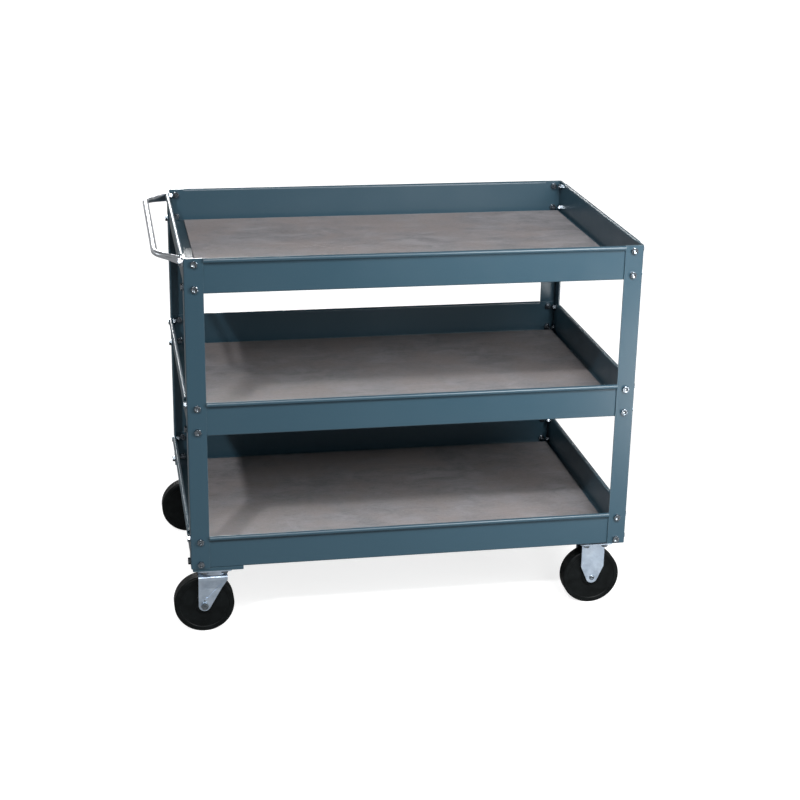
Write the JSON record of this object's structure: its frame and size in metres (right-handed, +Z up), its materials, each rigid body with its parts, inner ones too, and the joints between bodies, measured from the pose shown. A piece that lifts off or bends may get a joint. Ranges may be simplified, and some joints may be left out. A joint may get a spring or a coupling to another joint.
{
  "type": "tool cart",
  "caption": "Bolted steel cart with stacked open trays on angle posts, loose liner boards, a bow handle at one end, swivel casters below it and rigid casters at the other.",
  "frame": {"origin": "middle of the whole object's footprint on the floor, from the handle to the rigid wheels", "axes": "+X away from the handle end, towards the rigid casters; +Y to the back; +Z up"},
  "size_m": [0.985, 0.6262, 0.813],
  "materials": {
    "enamel": "semi-gloss blue-grey enamel",
    "liner": "matt grey-brown hardboard, faintly mottled",
    "handle_plating": "bright plated steel bar",
    "zinc_fastener": "bright zinc",
    "zinc_pressing": "satin zinc on pressed steel",
    "bearing_steel": "bright, greased",
    "bush_plastic": "plain moulded",
    "wheel_black": "satin black hard rubber"
  },
  "bodies": {
    "cart": {"axle_bolt_back_right": "zinc_fastener", "axle_bolt_front_right": "zinc_fastener", "axle_nut_back_right": "zinc_fastener", "axle_nut_front_right": "zinc_fastener", "axle_sleeve_back_right": "zinc_fastener", "axle_sleeve_front_right": "zinc_fastener", "caster_bolster_left": "enamel", "caster_bolster_right": "enamel", "caster_bolts": "zinc_fastener", "caster_nuts": "zinc_fastener", "handle": "handle_plating", "handle_bolts": "zinc_fastener", "handle_nuts": "zinc_fastener", "kingpin_back_left": "zinc_pressing", "kingpin_front_left": "zinc_pressing", "liner_bottom": "liner", "liner_middle": "liner", "liner_top": "liner", "post_back_left": "enamel", "post_back_right": "enamel", "post_front_left": "enamel", "post_front_right": "enamel", "race_balls_back_left": "bearing_steel", "race_balls_front_left": "bearing_steel", "rigid_fork_back_right": "zinc_pressing", "rigid_fork_front_right": "zinc_pressing", "shelf_bolts_bottom": "zinc_fastener", "shelf_bolts_middle": "zinc_fastener", "shelf_bolts_top": "zinc_fastener", "shelf_nuts_bottom": "zinc_fastener", "shelf_nuts_middle": "zinc_fastener", "shelf_nuts_top": "zinc_fastener", "swivel_plate_back_left": "zinc_pressing", "swivel_plate_front_left": "zinc_pressing", "tray_bottom": "enamel", "tray_middle": "enamel", "tray_top": "enamel"},
    "swivel_front_left": {"swivel_fork_front_left": "zinc_pressing", "axle_bolt_front_left": "zinc_fastener", "axle_nut_front_left": "zinc_fastener", "axle_sleeve_front_left": "zinc_fastener"},
    "swivel_back_left": {"swivel_fork_back_left": "zinc_pressing", "axle_bolt_back_left": "zinc_fastener", "axle_nut_back_left": "zinc_fastener", "axle_sleeve_back_left": "zinc_fastener"},
    "wheel_front_left": {"wheel_front_left": "wheel_black", "wheel_bush_front_left": "bush_plastic"},
    "wheel_front_right": {"wheel_front_right": "wheel_black", "wheel_bush_front_right": "bush_plastic"},
    "wheel_back_left": {"wheel_back_left": "wheel_black", "wheel_bush_back_left": "bush_plastic"},
    "wheel_back_right": {"wheel_back_right": "wheel_black", "wheel_bush_back_right": "bush_plastic"}
  },
  "joints": [
    {"name": "swivel_front_left", "type": "hinge", "parent": "cart", "child": "swivel_front_left", "pos_m": [-0.387, -0.258, 0.131], "axis": [0, 0, 1], "continuous": true},
    {"name": "spin_front_left", "type": "hinge", "parent": "swivel_front_left", "child": "wheel_front_left", "pos_m": [-0.4085, -0.258, 0.0625], "axis": [0, 1, 0], "continuous": true},
    {"name": "swivel_back_left", "type": "hinge", "parent": "cart", "child": "swivel_back_left", "pos_m": [-0.387, 0.258, 0.131], "axis": [0, 0, 1], "continuous": true},
    {"name": "spin_back_left", "type": "hinge", "parent": "swivel_back_left", "child": "wheel_back_left", "pos_m": [-0.4085, 0.258, 0.0625], "axis": [0, 1, 0], "continuous": true},
    {"name": "spin_front_right", "type": "hinge", "parent": "cart", "child": "wheel_front_right", "pos_m": [0.43, -0.246, 0.0625], "axis": [0, 1, 0], "continuous": true},
    {"name": "spin_back_right", "type": "hinge", "parent": "cart", "child": "wheel_back_right", "pos_m": [0.43, 0.246, 0.0625], "axis": [0, 1, 0], "continuous": true}
  ]
}
